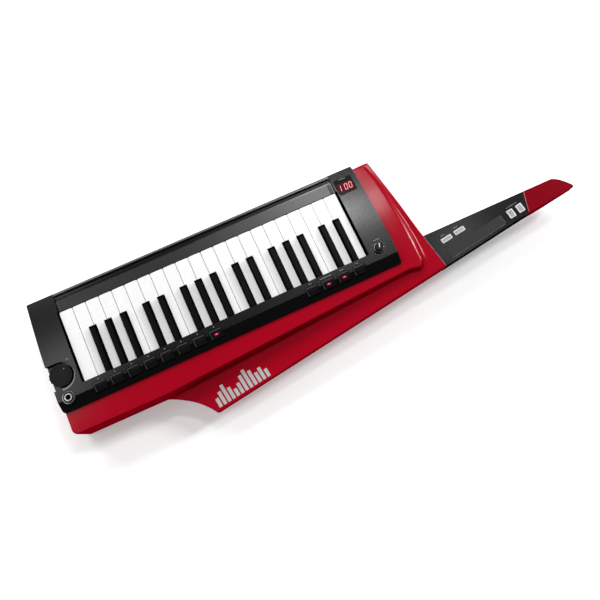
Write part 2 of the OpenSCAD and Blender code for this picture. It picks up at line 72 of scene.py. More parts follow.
def layout_box(node):
    lo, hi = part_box(node)
    return layout(lo), layout(hi)


def top_centre(node):
    """Middle of a node's box, at its upper face."""
    lo, hi = layout_box(node)
    return (lo.x + hi.x) / 2, (lo.y + hi.y) / 2, hi.z


# ---------------------------------------------------------------- camera, floor and light
CAMERA_PLACE = (253.14, -305.89, 863.88)
CAMERA_TURN = (12.542, 0.214, -24.616)


def add_camera():
    data = bpy.data.cameras.new("camera")
    data.lens = 36
    data.sensor_width = 36
    data.clip_start = 0.05
    camera = bpy.data.objects.new("camera", data)
    bpy.context.scene.collection.objects.link(camera)
    camera.location = at(*CAMERA_PLACE)
    camera.rotation_euler = tuple(math.radians(a) for a in CAMERA_TURN)
    bpy.context.scene.camera = camera
    bpy.context.scene.view_settings.view_transform = "Standard"


def add_area(name, place, aim, size, watts):
    data = bpy.data.lights.new(name, "AREA")
    data.shape = "RECTANGLE"
    data.size, data.size_y = size
    data.energy = watts
    light = bpy.data.objects.new(name, data)
    bpy.context.scene.collection.objects.link(light)
    light.location = place
    direction = Vector(aim) - Vector(place)
    light.rotation_euler = direction.to_track_quat("-Z", "Y").to_euler()


def add_stage():
    mesh = bpy.data.meshes.new("floor")
    half = 4.0
    corners = [(-half, -half, 0), (half, -half, 0), (half, half, 0), (-half, half, 0)]
    mesh.from_pydata(corners, [], [(0, 1, 2, 3)])
    floor = bpy.data.objects.new("floor", mesh)
    bpy.context.scene.collection.objects.link(floor)
    mat = bpy.data.materials.new("floor")
    mat.use_nodes = True
    shader = mat.node_tree.nodes["Principled BSDF"]
    shader.inputs["Base Color"].default_value = (0.93, 0.93, 0.93, 1)
    shader.inputs["Roughness"].default_value = 0.9
    shader.inputs["Specular IOR Level"].default_value = 0.1
    shader.inputs["Emission Color"].default_value = (1, 1, 1, 1)
    shader.inputs["Emission Strength"].default_value = 0.3
    mesh.materials.append(mat)

    world = bpy.data.worlds.new("studio")
    bpy.context.scene.world = world
    world.use_nodes = True
    world.node_tree.nodes["Background"].inputs["Color"].default_value = (1, 1, 1, 1)
    world.node_tree.nodes["Background"].inputs["Strength"].default_value = 0.15


def add_lights():
    """Small lights over the flat tops for their highlights, and large ones further off."""
    centre = (0.0, 0.0, 0.03)
    add_area("highlight_box", (0.37, 0.69, 1.56), (0.1, 0.05, 0.06), (0.22, 0.14), 3.3)
    add_area("deck_strip", (0.55, 0.53, 1.56), (0.12, 0.05, 0.06), (0.07, 0.09), 0.7)
    add_area("rail_strip", (0.14, 0.69, 1.56), (-0.05, 0.1, 0.06), (0.5, 0.07), 1.4)
    add_area("neck_strip", (0.8, 0.24, 1.56), (0.2, -0.04, 0.06), (0.1, 0.2), 0.2)
    add_area("left_strip", (-0.9, 0.42, 1.56), (-0.4, 0.0, 0.06), (0.5, 0.2), 1.2)
    add_area("far_box", (0.0, 3.3, 2.2), centre, (4.6, 1.6), 182)
    add_area("left_box", (-2.9, 0.7, 1.7), centre, (2.0, 2.0), 20)
    add_area("head_box", (2.5, 0.5, 1.7), centre, (0.34, 0.8), 50)


# ---------------------------------------------------------------- materials
class Material:
    """A Principled material with short ways to add procedural detail."""

    def __init__(self, name, colour, rough, metal=0.0, coat=0.0, coat_rough=0.03, specular=0.5):
        self.name = name
        self.mat = bpy.data.materials.new(name)
        self.mat.use_nodes = True
        self.nodes = self.mat.node_tree.nodes
        self.links = self.mat.node_tree.links
        self.shader = self.nodes["Principled BSDF"]
        self.colour = (*colour, 1)
        self.rough = rough
        self.shader.inputs["Base Color"].default_value = self.colour
        self.shader.inputs["Roughness"].default_value = rough
        self.shader.inputs["Metallic"].default_value = metal
        self.shader.inputs["Coat Weight"].default_value = coat
        self.shader.inputs["Coat Roughness"].default_value = coat_rough
        self.shader.inputs["Specular IOR Level"].default_value = specular
        self.coords = self.nodes.new("ShaderNodeTexCoord").outputs["Object"]

    def stretch(self, scale):
        mapping = self.nodes.new("ShaderNodeMapping")
        mapping.inputs["Scale"].default_value = scale
        self.links.new(self.coords, mapping.inputs["Vector"])
        return mapping.outputs["Vector"]

    def noise(self, scale, detail=2.0, vector=None):
        tex = self.nodes.new("ShaderNodeTexNoise")
        tex.inputs["Scale"].default_value = scale
        tex.inputs["Detail"].default_value = detail
        self.links.new(vector or self.coords, tex.inputs["Vector"])
        return tex.outputs["Fac"]

    def wave(self, scale):
        tex = self.nodes.new("ShaderNodeTexWave")
        tex.bands_direction = "X"
        tex.inputs["Scale"].default_value = scale
        self.links.new(self.coords, tex.inputs["Vector"])
        return tex.outputs["Fac"]

    def spots(self, scale):
        tex = self.nodes.new("ShaderNodeTexVoronoi")
        tex.inputs["Scale"].default_value = scale
        self.links.new(self.coords, tex.inputs["Vector"])
        return tex.outputs["Distance"]

    def ranged(self, value, low, high, start=0.3, stop=0.7):
        node = self.nodes.new("ShaderNodeMapRange")
        node.inputs["From Min"].default_value = start
        node.inputs["From Max"].default_value = stop
        node.inputs["To Min"].default_value = low
        node.inputs["To Max"].default_value = high
        self.links.new(value, node.inputs["Value"])
        return node.outputs["Result"]

    def vary_roughness(self, value, spread):
        out = self.ranged(value, max(0.02, self.rough - spread), self.rough + spread)
        self.links.new(out, self.shader.inputs["Roughness"])
        return self

    def vary_colour(self, value, other, start=0.3, stop=0.7):
        mix = self.nodes.new("ShaderNodeMix")
        mix.data_type = "RGBA"
        mix.inputs["A"].default_value = self.colour
        mix.inputs["B"].default_value = (*other, 1)
        self.links.new(self.ranged(value, 0, 1, start, stop), mix.inputs["Factor"])
        self.links.new(mix.outputs["Result"], self.shader.inputs["Base Color"])
        return self

    def bump(self, value, strength, distance):
        node = self.nodes.new("ShaderNodeBump")
        node.inputs["Strength"].default_value = strength
        node.inputs["Distance"].default_value = distance
        self.links.new(value, node.inputs["Height"])
        self.links.new(node.outputs["Normal"], self.shader.inputs["Normal"])
        return self

    def normal_along(self, axis):
        """How far the object's surface faces along X, Y or Z."""
        split = self.nodes.new("ShaderNodeSeparateXYZ")
        normal = self.nodes.new("ShaderNodeTexCoord").outputs["Normal"]
        self.links.new(normal, split.inputs["Vector"])
        return split.outputs[axis]

    def paint_gap_shade(self, other):
        """Painted shade: darker faces where the piece looks left and right, standing in for the shade in
        the gap beside its neighbour.
        """
        size = self.nodes.new("ShaderNodeMath")
        size.operation = "ABSOLUTE"
        self.links.new(self.normal_along("X"), size.inputs[0])
        return self.vary_colour(size.outputs["Value"], other, 0.25, 0.75)

    def on_top_only(self, socket, value, start=0.5, stop=0.88):
        """Gives the upper faces the full value of a shader input, and the side walls none."""
        scaled = self.ranged(self.normal_along("Z"), 0, value, start, stop)
        self.links.new(scaled, self.shader.inputs[socket])
        return self

    def glow(self, colour, strength):
        self.shader.inputs["Emission Color"].default_value = (*colour, 1)
        self.shader.inputs["Emission Strength"].default_value = strength
        return self


def moulded(name, colour, rough, grain=2600, strength=0.15, specular=0.35):
    """Moulded plastic with a fine grain, glossy on its upper faces only."""
    m = Material(name, colour, rough, specular=specular)
    m.vary_roughness(m.noise(grain / 2, 2), 0.015)
    m.vary_colour(m.noise(grain / 2, 2), tuple(c * 1.3 for c in colour))
    m.bump(m.noise(grain, 2), strength, 0.00002)
    m.on_top_only("Specular IOR Level", specular, 0.84, 0.97)
    return m


def varied_gloss(name, colour, rough, scale, spread, detail=2, **options):
    """A smooth material whose roughness varies a little over the surface."""
    m = Material(name, colour, rough, **options)
    return m.vary_roughness(m.noise(scale, detail), spread)


def lacquer(name, red):
    """Satin red under a clear coat, which the side walls do without."""
    m = Material(name, (red, 0.0, 0.03 * red), 0.35, coat=1.0, coat_rough=0.15, specular=0.0)
    m.shader.inputs["Coat IOR"].default_value = 1.3
    m.on_top_only("Coat Weight", 1.0)
    m.vary_colour(m.noise(9, 3), (0.91 * red, 0.0, 0.027 * red))
    m.vary_roughness(m.noise(300, 2), 0.04)
    return m.bump(m.noise(120, 1), 0.03, 0.0001)


NEAR_BLACK = (0.0012, 0.0012, 0.0013)


def make_materials():
    made = [
        lacquer("red_lacquer", 0.34),
        # A darker copy of the same red lacquer: painted shade for the head cap, which lies in less light
        lacquer("red_lacquer_shaded", 0.21),
        moulded("black_housing", NEAR_BLACK, 0.25, specular=0.5),
        moulded("black_shell", NEAR_BLACK, 0.2, specular=0.6),
        moulded("dark_button", NEAR_BLACK, 0.25, specular=0.5),
        moulded("black_knob", (0.002, 0.002, 0.0021), 0.36, specular=0.2),
        moulded("black_key", NEAR_BLACK, 0.42, grain=1800, strength=0.4, specular=0.08),
        moulded("strip_grey", (0.03, 0.03, 0.0305), 0.4, grain=1200),
        varied_gloss("smoked_window", (0.006, 0.004, 0.004), 0.08, 400, 0.02, coat=1.0),
        varied_gloss("bright_metal", (0.36, 0.36, 0.37), 0.2, 250, 0.05, detail=3, metal=1.0),
        varied_gloss("screw_metal", (0.42, 0.42, 0.43), 0.35, 500, 0.12, detail=3, metal=1.0),
        # The silver and pink below are painted highlights, for the strips along the joints and the short
        # touch strip
        varied_gloss("highlight_silver", (0.3, 0.3, 0.305), 0.35, 900, 0.08, metal=0.3),
        # The grey below is a painted highlight, for the strips along the buttons' top and left edges
        varied_gloss("edge_highlight_grey", (0.12, 0.12, 0.122), 0.3, 900, 0.08),
        varied_gloss("highlight_pink", (0.6, 0.16, 0.19), 0.35, 900, 0.08),
        varied_gloss("rib_silver", (0.2, 0.2, 0.205), 0.45, 700, 0.06, metal=0.4),
        varied_gloss("lens_dark", (0.008, 0.002, 0.002), 0.25, 700, 0.04),
        varied_gloss("lens_glow", (0.012, 0.001, 0.001), 0.3, 700, 0.04).glow((0.6, 0.0, 0.03), 0.14),
        varied_gloss("led_red", (0.5, 0.02, 0.06), 0.3, 600, 0.05).glow((1.0, 0.08, 0.2), 1.5),
        varied_gloss("digit_red", (0.6, 0.1, 0.15), 0.3, 600, 0.05).glow((1.0, 0.2, 0.25), 1.3),
        varied_gloss("display_red", (0.02, 0.0, 0.001), 0.3, 600, 0.05, specular=0.1).glow(
            (0.5, 0.0, 0.02), 0.06),
    ]

    m = varied_gloss("white_key", (0.81, 0.81, 0.815), 0.27, 90, 0.04, detail=3)
    # Painted shade on the keys' left and right faces, for the gaps between neighbouring keys
    m.paint_gap_shade((0.06, 0.06, 0.062))
    made.append(m.bump(m.noise(220, 1), 0.03, 0.0001))

    m = Material("touch_strip", (0.012, 0.012, 0.0123), 0.3, specular=0.5)
    m.vary_colour(m.noise(900, 2), (0.016, 0.016, 0.0163))
    made.append(m.bump(m.spots(2600), 0.2, 0.00002))

    m = Material("chassis_metal", (0.6, 0.61, 0.62), 0.35, metal=1.0)
    made.append(m.vary_roughness(m.noise(900, 2, m.stretch((0.04, 1, 1))), 0.12))

    m = Material("board_green", (0.01, 0.12, 0.04), 0.4)
    m.vary_colour(m.wave(220), (0.02, 0.2, 0.08), 0.45, 0.55)
    made.append(m.bump(m.noise(900, 2), 0.2, 0.00005))

    m = Material("cell_metal", (0.62, 0.5, 0.25), 0.35, metal=0.7)
    made.append(m.vary_colour(m.noise(30, 2), (0.5, 0.4, 0.2)))

    m = Material("socket_metal", (0.56, 0.56, 0.57), 0.32, metal=1.0)
    brushed = m.noise(1200, 2, m.stretch((1, 0.05, 1)))
    m.vary_roughness(brushed, 0.1)
    made.append(m.bump(brushed, 0.15, 0.00003))

    m = varied_gloss("silver_button", (0.78, 0.78, 0.79), 0.34, 700, 0.06, metal=0.45)
    made.append(m.bump(m.noise(1800, 2), 0.15, 0.00003))

    m = varied_gloss("silver_ink", (0.62, 0.62, 0.62), 0.4, 900, 0.08, metal=0.55)
    made.append(m.vary_colour(m.noise(200, 2), (0.56, 0.56, 0.57)))

    m = Material("grey_ink", (0.3, 0.3, 0.31), 0.6)
    made.append(m.vary_colour(m.noise(1500, 2), (0.22, 0.22, 0.23)))

    m = Material("socket_black", (0.014, 0.014, 0.015), 0.45)
    made.append(m.bump(m.noise(1500, 2), 0.3, 0.00003))
    return {m.name: m.mat for m in made}


# ---------------------------------------------------------------- small mesh helpers
def new_object(name, mesh, mat, body=BODY, smooth=40):
    obj = bpy.data.objects.new(name, mesh)
    bpy.context.scene.collection.objects.link(obj)
    mesh.materials.clear()
    mesh.materials.append(mat)
    finish_shading(mesh, smooth)
    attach(obj, body)
    return obj


def finish_shading(mesh, smooth):
    mesh.polygons.foreach_set("use_smooth", [True] * len(mesh.polygons))
    mesh.set_sharp_from_angle(angle=math.radians(smooth))
    mesh.update()


def mesh_from(name, verts, faces):
    mesh = bpy.data.meshes.new(name)
    mesh.from_pydata([tuple(v) for v in verts], [], faces)
    mesh.validate()
    return mesh


def arc(cx, cy, r, a0, a1, n):
    """Points of an arc round cx, cy from angle a0 to a1, in degrees."""
    angles = np.radians(np.linspace(a0, a1, n + 1))
    return [(cx + r * math.cos(a), cy + r * math.sin(a)) for a in angles]


def bend(p, q, s, n):
    """Points of a curve from p to s that q pulls towards itself."""
    points = []
    for t in np.linspace(0, 1, n + 1):
        w = ((1 - t) ** 2, 2 * t * (1 - t), t * t)
        points.append(tuple(w[0] * p[k] + w[1] * q[k] + w[2] * s[k] for k in (0, 1)))
    return points


def rounded_outline(w, d, r, n=5):
    """Rectangle round the origin with rounded corners."""
    r = min(r, w / 2 - 0.01, d / 2 - 0.01)
    points = []
    for cx, cy, a in ((w / 2 - r, d / 2 - r, 0), (r - w / 2, d / 2 - r, 90), (r - w / 2, r - d / 2, 180),
                      (w / 2 - r, r - d / 2, 270)):
        points += arc(cx, cy, r, a, a + 90, n)
    return points


def turned(points, degrees, x, y):
    """Points turned round the origin, then moved by x, y."""
    c, s = math.cos(math.radians(degrees)), math.sin(math.radians(degrees))
    return [(x + c * px - s * py, y + s * px + c * py) for px, py in points]


def slab_mesh(bm, outline, top, thick, edge=0.0):
    """Adds a closed plate to bm. outline is in layout mm, top(x, y) the height of its upper face."""
    cx = sum(p[0] for p in outline) / len(outline)
    cy = sum(p[1] for p in outline) / len(outline)
    rings = []
    levels = [(0, thick), (0, edge), (edge, 0)] if edge else [(0, thick), (0, 0)]
    for inset, drop in levels:
        ring = []
        for x, y in outline:
            length = math.hypot(x - cx, y - cy) or 1
            k = max(0.0, 1 - inset / length)
            px, py = cx + (x - cx) * k, cy + (y - cy) * k
            ring.append(bm.verts.new(at(px, py, top(px, py) - drop)))
        rings.append(ring)
    n = len(outline)
    for low, high in zip(rings, rings[1:]):
        for i in range(n):
            bm.faces.new((low[i], low[(i + 1) % n], high[(i + 1) % n], high[i]))
    bm.faces.new(rings[-1])
    bm.faces.new(list(reversed(rings[0])))


def plates(name, outlines, top, thick, mat, body=BODY, edge=0.0):
    """One piece made of several closed plates that follow a surface."""
    bm = bmesh.new()
    for outline in outlines:
        slab_mesh(bm, outline, top, thick, edge)
    bmesh.ops.recalc_face_normals(bm, faces=bm.faces)
    mesh = bpy.data.meshes.new(name)
    bm.to_mesh(mesh)
    bm.free()
    return new_object(name, mesh, mat, body)


def weight_normals(obj, weight):
    normals = obj.modifiers.new("normals", "WEIGHTED_NORMAL")
    normals.keep_sharp = True
    normals.weight = weight


def soften(obj, width):
    """Rounds an object's edges with modifiers. width is in mm."""
    weld = obj.modifiers.new("weld", "WELD")
    weld.merge_threshold = 2e-6
    bevel = obj.modifiers.new("edges", "BEVEL")
    bevel.width = width * MM
    bevel.segments = 2
    bevel.limit_method = "ANGLE"
    bevel.angle_limit = math.radians(32)
    bevel.use_clamp_overlap = True
    bevel.harden_normals = False
    weight_normals(obj, 60)


def paint(node, mat):
    obj = frame["nodes"][node]
    if obj.material_slots:
        for slot in obj.material_slots:
            slot.material = mat
    else:
        obj.data.materials.append(mat)


# ---------------------------------------------------------------- surfaces that details sit on
BLOCK_RISE = layout_box("volume_dial")[1].z
DECK_Z = layout_box("keyboard_housing")[0].z
NECK_Z = layout_box("head_cap")[1].z
BACK_Z = layout_box("wood_body")[0].z
WING_Z = -24.0
WING_UNDER = -46.0
NECK_UNDER = layout_box("head_cap")[0].z
NECK_ANGLE = 8.05


def block_top(x, y):
    """Height of the housing's end blocks and rear strip, which fall away towards the key fronts."""
    level_to, fall = -80, 0.00048
    return BLOCK_RISE - (fall * (y - level_to) ** 2 if y > level_to else 0)


def along_wing(x, start, end):
    """A height that goes evenly from the wing's corner to the neck's joint."""
    return np.interp(x, [WING_CORNER[0], JOINT_REAR[0]], [start, end])


# ---------------------------------------------------------------- red body
DECK_L = -42.8
DECK_FRONT = 27.3
DECK_REAR = -175.1
CORNER_R = 10
FRONT_R = 3
DECK_BEND = (101.6, -176.2)
DECK_END = (500.4, -154.6)
DECK_CORNER = (511, DECK_FRONT)
WING_CORNER = (154.0, -227.8)
JOINT_FRONT = (544.9, -114.7)
JOINT_REAR = (555.0, -171.6)
CAVITY = ((-36, -134), (486, 15))
SOCKET_OPENING = ((DECK_L - 3, -104.2, -52.2), (-34, 7.2, -13.8))


def line(p, q, n):
    return [(p[0] + (q[0] - p[0]) * t, p[1] + (q[1] - p[1]) * t) for t in np.linspace(0, 1, n + 1)]


def without_repeats(points, least=0.05):
    kept = []
    for p in points:
        if not kept or math.dist(p, kept[-1]) > least:
            kept.append(p)
    if math.dist(kept[0], kept[-1]) <= least:
        kept.pop()
    return kept


def left_end():
    """The left end with its two corners, which the deck and the whole body share."""
    points = arc(DECK_L + FRONT_R, DECK_FRONT - FRONT_R, FRONT_R, 90, 180, 8)
    points += line((DECK_L, DECK_FRONT - FRONT_R), (DECK_L, DECK_REAR + CORNER_R), 10)
    return points + arc(DECK_L + CORNER_R, DECK_REAR + CORNER_R, CORNER_R, 180, 270, 10)


def deck_outline():
    """Edge of the raised deck, anticlockwise from above."""
    points = left_end()
    points += line((DECK_L + CORNER_R, DECK_REAR), DECK_BEND, 12)
    points += line(DECK_BEND, DECK_END, 40)
    points += arc(512, -146.6, 12, -70, 5, 14)
    points += list(reversed(bend(DECK_CORNER, (526.5, -30), (524, -142), 36)))
    points += line(DECK_CORNER, (DECK_L + FRONT_R, DECK_FRONT), 30)
    return without_repeats(points)


def outer_outline():
    """Silhouette of the whole red body, anticlockwise from above."""
    x, y = WING_CORNER
    wing_start, wing_side, wing_edge = (89, -176.1), (152.5, -226.2), (156, y + 0.4)
    right_side, front_end = (518.3, DECK_FRONT - 2.4), (515.7, DECK_FRONT)
    points = left_end()
    points += line((DECK_L + CORNER_R, DECK_REAR), wing_start, 12)
    points += bend(wing_start, (134, -196), wing_side, 26)
    points += bend(wing_side, (x - 1.2, y + 0.15), wing_edge, 5)
    points += line(wing_edge, JOINT_REAR, 44)
    points += line(JOINT_REAR, JOINT_FRONT, 10)
    points += bend(JOINT_FRONT, (535.2, -55), right_side, 24)
    points += bend(right_side, (518.1, DECK_FRONT), front_end, 5)
    points += line(front_end, (DECK_L + FRONT_R, DECK_FRONT), 30)
    return without_repeats(points)


def to_outline(points, outline):
    """Signed distance of points to an outline: positive outside."""
    p = np.asarray(points, float)
    a = np.asarray(outline, float)
    b = np.roll(a, -1, axis=0)
    ab = b - a
    best = np.full(len(p), 1e9)
    inside = np.zeros(len(p), bool)
    for i in range(len(a)):
        t = np.clip(((p - a[i]) @ ab[i]) / (ab[i] @ ab[i]), 0, 1)
        best = np.minimum(best, np.hypot(*(p - a[i] - t[:, None] * ab[i]).T))
        crosses = (a[i][1] > p[:, 1]) != (b[i][1] > p[:, 1])
        where = a[i][0] + (p[:, 1] - a[i][1]) * ab[i][0] / (ab[i][1] or 1e-12)
        inside ^= crosses & (p[:, 0] < where)
    return np.where(inside, -best, best)


def offset_ring(outline, d):
    """The outline moved outwards by d, for small d."""
    a = np.asarray(outline, float)
    along = np.roll(a, -1, axis=0) - np.roll(a, 1, axis=0)
    along /= np.linalg.norm(along, axis=1)[:, None]
    return a + d * np.c_[along[:, 1], -along[:, 0]]


def smooth_step(v, lo, hi):
    t = np.clip((v - lo) / (hi - lo), 0, 1)
    return t * t * (3 - 2 * t)


def step_profile(d, drop, crest, foot):
    """Fall from the deck over its rounded crest and hollow foot: 0 on the deck, drop at the foot."""
    t = np.clip((d + crest) / (crest + foot), 0, 1)
    lean = t ** 1.15
    return drop * (lean * lean * (3 - 2 * lean))


def crest_profile(d, drop):
    """Fall over a rounded crest of constant radius, then down a slope to a crisp foot."""
    radius, angle = 9.0, math.radians(44)
    along = radius * math.sin(angle)
    arc_part = radius - np.sqrt(np.maximum(radius ** 2 - np.clip(d, 0, along) ** 2, 0))
    slope_part = np.clip(d - along, 0, None) * math.tan(angle)
    return np.minimum(arc_part + slope_part, drop)


def round_over(inset, radius):
    """Fall of a rounded edge, at some distance in from it."""
    close = np.clip(radius - inset, 0, radius)
    return radius - np.sqrt(np.maximum(radius * radius - close * close, 0))


def body_top(points, deck, outer):
    """Heights of the wing, the flange beside the deck, the deck, and the ridge between them."""
    p = np.asarray(points, float)
    d = to_outline(p, deck)
    e = -to_outline(p, outer)
    plane = along_wing(p[:, 0], WING_Z, NECK_Z)
    flange = smooth_step(p[:, 0], 500, 511) * smooth_step(p[:, 1], -128, -60)
    flange_z = np.interp(p[:, 1], [-125, -40, DECK_FRONT + 1], [NECK_Z, -7.5, -4.6])
    plane = plane + flange * (flange_z - plane)
    drop = DECK_Z - plane
    foot = 4.2
    cove = step_profile(d, drop, 2.0, foot)
    ridge = smooth_step(p[:, 0], 498, 512) * smooth_step(p[:, 1], -156, -128)
    z = DECK_Z - cove - ridge * (crest_profile(d + foot, drop) - cove)
    a, b = np.array(JOINT_FRONT), np.array(JOINT_REAR)
    t = np.clip(((p - a) @ (b - a)) / ((b - a) @ (b - a)), 0, 1)
    from_joint = np.hypot(*(p - a - t[:, None] * (b - a)).T)
    # The outer edge is rounded, less so at the neck's joint, and crisp where the deck itself reaches it
    radius = 0.4 + 1.0 * np.clip((from_joint - 1) / 8, 0, 1)
    return z - np.clip(d / 3, 0, 1) * round_over(e, radius)


def body_under(points, deck, outer):
    """Heights of the flat back, and of the thinner wing's underside."""
    p = np.asarray(points, float)
    d = to_outline(p, deck)
    plane = along_wing(p[:, 0], WING_UNDER, NECK_UNDER)
    z = BACK_Z + step_profile(d, 1, 1.5, 4.0) * (plane - BACK_Z)
    return z + round_over(-to_outline(p, outer), 3.0)


def filled(outline, rings, height):
    """Triangles inside an outline, with rings of points where the surface curves."""
    verts = [Vector(p) for p in outline]
    n = len(verts)
    edges = [(i, (i + 1) % n) for i in range(n)]
    for ring, mask in rings:
        first = len(verts)
        m = len(ring)
        verts += [Vector(p) for p in ring]
        edges += [(first + i, first + (i + 1) % m) for i in range(m) if mask[i] and mask[(i + 1) % m]]
    flat, _, faces, _, _, _ = delaunay_2d_cdt(verts, edges, [list(range(n))], 1, 1e-4)
    used = sorted({v for f in faces for v in f})
    remap = {v: k for k, v in enumerate(used)}
    points = [tuple(flat[v]) for v in used]
    z = height(points)
    return points, z, [[remap[v] for v in f] for f in faces]


def shell_between(name, outline, top, under):
    """Closed solid between two surfaces given as (points, z, faces) over the same outline."""
    verts, faces = [], []
    ends = []
    for (points, z, tris), flip in ((top, False), (under, True)):
        first = len(verts)
        verts += [at(x, y, h) for (x, y), h in zip(points, z)]
        for tri in tris:
            tri = [first + v for v in tri]
            faces.append(tri[::-1] if flip else tri)
        cloud = np.asarray(points)
        ends.append([first + int(np.argmin(np.hypot(*(cloud - p).T))) for p in np.asarray(outline)])
    n = len(outline)
    upper, lower = ends
    for i in range(n):
        j = (i + 1) % n
        faces.append((lower[i], lower[j], upper[j], upper[i]))
    mesh = mesh_from(name, verts, faces)
    bm = bmesh.new()
    bm.from_mesh(mesh)
    bmesh.ops.recalc_face_normals(bm, faces=bm.faces)
    bm.to_mesh(mesh)
    bm.free()
    return mesh


def box_into(bm, lo, hi):
    a, b = at(*lo), at(*hi)
    place = Matrix.Translation((a + b) / 2) @ Matrix.Diagonal((*(b - a), 1))
    bmesh.ops.create_cube(bm, size=1, matrix=place)


def cut_mesh(mesh, cutter):
    """The mesh with the cutter taken away."""
    base = bpy.data.objects.new("base", mesh)
    tool = bpy.data.objects.new("tool", cutter)
    for o in (base, tool):
        bpy.context.scene.collection.objects.link(o)
    mod = base.modifiers.new("cut", "BOOLEAN")
    mod.operation = "DIFFERENCE"
    mod.solver = "EXACT"
    mod.object = tool
    bpy.context.view_layer.update()
    result = bpy.data.meshes.new_from_object(base.evaluated_get(bpy.context.evaluated_depsgraph_get()))
    for o in (base, tool):
        bpy.data.objects.remove(o)
    return result


def rings_of(outline, offsets, keep):
    """Rings of points beside an outline, each with a mask of the points that count."""
    rings = []
    for d in offsets:
        ring = offset_ring(outline, d)
        rings.append((ring, keep(ring, d)))
    return rings


def add_red_body(mats):
    """The red body: its top with the ridge, its underside, and the openings for what it holds."""
    deck, outer = deck_outline(), outer_outline()
    crest = (-8, -6.6, -5.6, -4.8, -4.0, -3.2, -2.5, -1.8, -1.2, -0.6)
    slope = (0.0, 0.6, 1.3, 2.1, 3.0, 4.0, 5.0, 6.2, 7.5, 9.0, 11.0, 14.0)
    edge = (-0.12, -0.4, -0.8, -1.3, -1.9, -2.5)
    rings = rings_of(deck, crest, lambda ring, d: to_outline(ring, outer) < -0.4)
    rings += rings_of(deck, slope, lambda ring, d: to_outline(ring, outer) < -2.9)
    rings += rings_of(outer, edge, lambda ring, d: to_outline(ring, deck) > 0.9)
    top = filled(outer, rings, lambda p: body_top(p, deck, outer))
    step = (-1.5, -0.8, 0.0, 1.0, 2.0, 3.0, 4.0)
    edge = (-0.15, -0.5, -1.0, -1.6, -2.3, -3.0)
    rings = rings_of(deck, step, lambda ring, d: to_outline(ring, outer) < -3.3)
    rings += rings_of(outer, edge, lambda ring, d: to_outline(ring, outer) < d * 0.8)
    under = filled(outer, rings, lambda p: body_under(p, deck, outer))
    mesh = shell_between("red_body", outer, top, under)

    bm = bmesh.new()
    past = 5
    box_into(bm, (*CAVITY[0], BACK_Z - past), (*CAVITY[1], DECK_Z + past))
    box_into(bm, *SOCKET_OPENING)
    cutter = bpy.data.meshes.new("cutter")
    bm.to_mesh(cutter)
    bm.free()
    mesh = cut_mesh(mesh, cutter)
    mesh.name = "red_body"
    body = new_object("red_body", mesh, mats["red_lacquer"], smooth=38)
    weight_normals(body, 80)
    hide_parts("wood_body")


# ---------------------------------------------------------------- rounded edges of the CAD pieces
EDGES = {
    "keyboard_housing": 0.45, "display_window": 0.3, "long_ribbon": 0.25, "neck_shell": 0.5,
    "short_ribbon": 0.25, "head_cap": 0.9, "volume_dial": 0.35, "level_knob": 0.3,
    "program_buttons": 0.6, "function_buttons": 0.6, "mode_button_a": 0.4, "mode_button_b": 0.4,
    "octave_button_down": 0.4, "octave_button_up": 0.4, "back_cover": 0.4, "battery_door": 0.35,
    "strap_pegs": 0.35, "screws": 0.12, "key_chassis": 0.2,
}


def soften_all():
    for name, obj in frame["nodes"].items():
        if name.startswith("white_key"):
            soften(obj, 0.45)
        elif name.startswith("black_key"):
            soften(obj, 0.5)
        elif name in EDGES:
            soften(obj, EDGES[name])


# ---------------------------------------------------------------- display and lamps
SEGMENTS = {"1": "bc", "0": "abcdef"}


def segment_bars(x, y, w, h, t, lit):
    """Bars of one seven-segment digit with its lower left corner at x, y."""
    gap = 0.08
    slant = 0.12
    middle, r = h / 2, t / 2
    bars = []
    for key, cy in {"a": h - r, "d": r}.items():
        if key in lit:
            bars.append([(r + gap, cy), (t + gap, cy - r), (w - t - gap, cy - r),
                         (w - r - gap, cy), (w - t - gap, cy + r), (t + gap, cy + r)])
    columns = {"f": (r, middle, h - r), "e": (r, r, middle),
               "b": (w - r, middle, h - r), "c": (w - r, r, middle)}
    for key, (cx, lo, hi) in columns.items():
        if key in lit:
            bars.append([(cx, lo + gap), (cx + r, lo + r + gap), (cx + r, hi - r - gap),
                         (cx, hi - gap), (cx - r, hi - r - gap), (cx - r, lo + r + gap)])
    return [[(x + px + py * slant, y + py) for px, py in bar] for bar in bars]


def add_display(mats):
    lo, hi = layout_box("display_window")
    cx, w = (lo.x + hi.x) / 2, hi.x - lo.x
    y = lo.y + 2.6
    top = lambda x, yy: block_top(x, yy) - 0.2
    panel = turned(rounded_outline(w - 4.4, 16.2, 1.0), 0, cx, y + 8.1)
    plates("display_panel", [panel], lambda x, yy: top(x, yy) + 0.03, 0.2, mats["display_red"])
    bars = []
    for x, digit in ((lo.x + 1.2, "1"), (lo.x + 12.0, "0"), (lo.x + 19.3, "0")):
        bars += segment_bars(x, y + 3.0, 5.0, 10.2, 0.85, SEGMENTS[digit])
    plates("display_digits", bars, lambda x, yy: top(x, yy) + 0.07, 0.2, mats["digit_red"])
    dash = turned(rounded_outline(10.5, 0.7, 0.3), 0, cx + 0.2, hi.y - 1.6)
    plates("display_mark", [dash], lambda x, yy: top(x, yy) + 0.05, 0.15, mats["grey_ink"])


BUTTON_REAR = -119.4
BUTTON_W = 18.9
BUTTON_TOPS = ((-133.2, 3.4), (-132.7, 4.0), (-125.4, 6.7), (-122.6, 7.3), (BUTTON_REAR, 7.4))
LAMP_Y = -126.8


def button_top(x, y):
    """Height of the panel buttons, which slope down to the rear."""
    ys, zs = zip(*BUTTON_TOPS)
    return float(np.interp(y, ys, zs))


def button_centres(node, n):
    lo, hi = layout_box(node)
    step = (hi.x - lo.x - BUTTON_W) / (n - 1)
    return [lo.x + BUTTON_W / 2 + i * step for i in range(n)]


